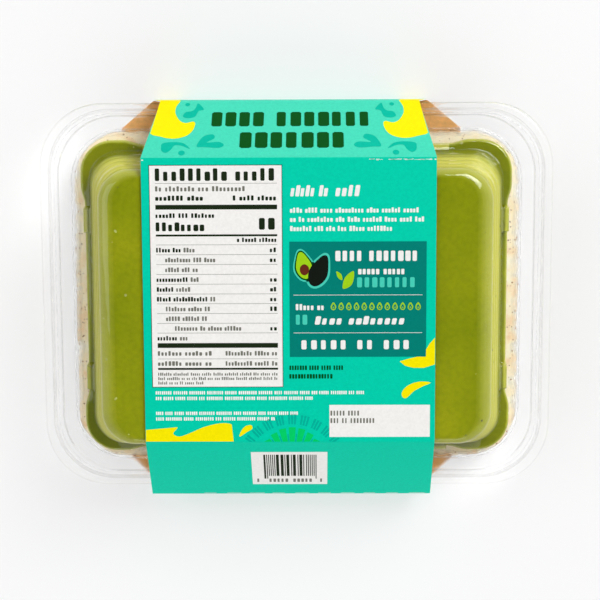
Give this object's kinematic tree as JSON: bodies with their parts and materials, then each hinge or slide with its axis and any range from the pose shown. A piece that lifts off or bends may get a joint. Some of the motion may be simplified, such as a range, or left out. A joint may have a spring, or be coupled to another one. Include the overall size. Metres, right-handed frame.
{
  "type": "guacamole retail pack",
  "caption": "Guacamole in a clear rectangular tray with a clear push-fit lid and a printed paperboard sleeve round its middle, lying on its lid with the tray's base up.",
  "frame": {"origin": "under the middle of the pack's bounding box, on the surface that its sleeve's cover panel lies on", "axes": "+X along the pack's long side, +Y across it towards the sleeve's short-reaching edge, +Z from the lid up to the tray's base"},
  "size_m": [0.2422, 0.1896, 0.0538],
  "materials": {
    "tray_plastic": "clear thermoformed sheet, glossy",
    "lid_plastic": "clear thermoformed sheet, glossy",
    "dip": "smooth moist green dip pressed against the tray, browned at its edge",
    "sleeve_board": "coated paperboard printed teal outside, plain brown inside"
  },
  "bodies": {
    "root": {"tray": "tray_plastic", "guacamole": "dip", "lid": "lid_plastic", "sleeve": "sleeve_board"}
  },
  "joints": []
}
